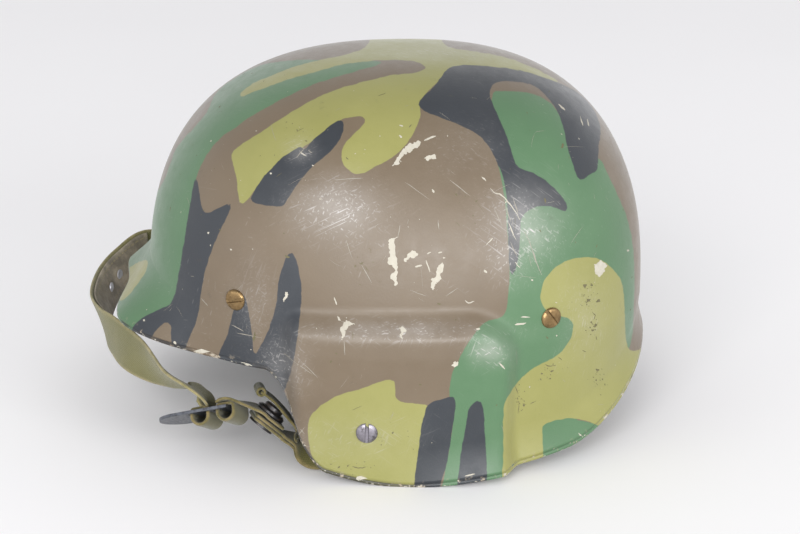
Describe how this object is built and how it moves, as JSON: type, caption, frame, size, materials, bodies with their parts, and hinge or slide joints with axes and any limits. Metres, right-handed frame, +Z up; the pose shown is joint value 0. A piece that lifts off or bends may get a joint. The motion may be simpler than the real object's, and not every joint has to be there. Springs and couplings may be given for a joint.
{
  "type": "combat helmet",
  "caption": "Camouflage-painted composite combat helmet with visor, ear and neck flare, webbing and leather suspension, and an adjustable chin strap stowed over the visor.",
  "frame": {"origin": "middle of the helmet's box in plan, on the plane that the rim rests on below the ears", "axes": "+Z up, +Y towards the wearer's back with the visor at -Y, +X towards the wearer's left"},
  "size_m": [0.246, 0.2988, 0.196],
  "materials": {
    "shell_paint": "painted woodland camouflage, satin, chipped",
    "trim_rubber": "painted rubber strip, dull",
    "brass": "worn brass with old brown paint",
    "zinc": "dull zinc plating",
    "dark_steel": "blackened steel",
    "olive_metal": "olive enamel, worn at the edges",
    "webbing": "olive cotton webbing, faded",
    "strap_webbing": "olive webbing, faded and dusty",
    "cord": "braided olive cord",
    "leather": "brown leather, smooth",
    "lining": "thin tan leather, dark with wear"
  },
  "bodies": {
    "helmet": {"shell": "shell_paint", "edge_trim": "trim_rubber", "suspension_screws": "brass", "suspension_nuts": "zinc", "suspension_hangers": "dark_steel", "suspension_band": "webbing", "crown_strap_front_left": "webbing", "crown_strap_front_right": "webbing", "crown_strap_left": "webbing", "crown_strap_right": "webbing", "crown_strap_rear_left": "webbing", "crown_strap_rear_right": "webbing", "crown_cord": "cord", "headband": "leather", "headband_clips": "zinc", "size_strap": "webbing", "size_buckle": "dark_steel", "chin_screws": "zinc", "chin_nuts": "zinc"},
    "chin_strap_assembly": {"chin_strap": "strap_webbing", "chin_lining": "lining", "lining_rivets": "zinc", "adjuster_left": "olive_metal", "adjuster_right": "olive_metal", "adjuster_loops_left": "strap_webbing", "adjuster_loops_right": "strap_webbing", "snap_cap": "dark_steel", "snap_strap": "strap_webbing", "anchor_strap_right": "strap_webbing", "anchor_plate_right": "dark_steel"},
    "left_anchor": {"anchor_plate_left": "dark_steel", "anchor_strap_left": "strap_webbing", "snap_stud": "dark_steel"},
    "pull_tab": {"pull_tab": "strap_webbing"}
  },
  "joints": [
    {"name": "chin_strap_swing", "type": "hinge", "parent": "helmet", "child": "chin_strap_assembly", "pos_m": [0, -0.00411, 0.03], "axis": [1, 0, 0], "range_deg": [0, 80]},
    {"name": "left_anchor_swing", "type": "hinge", "parent": "helmet", "child": "left_anchor", "pos_m": [0, -0.00411, 0.03], "axis": [1, 0, 0], "range_deg": [0, 80]},
    {"name": "pull_tab_lift", "type": "hinge", "parent": "left_anchor", "child": "pull_tab", "pos_m": [0.0888, -0.03686, 0.0166], "axis": [-1, 0, 0], "range_deg": [0, 20]}
  ],
  "couplings": [
    {"joint": "left_anchor_swing", "follows": "chin_strap_swing", "ratio": 1}
  ]
}
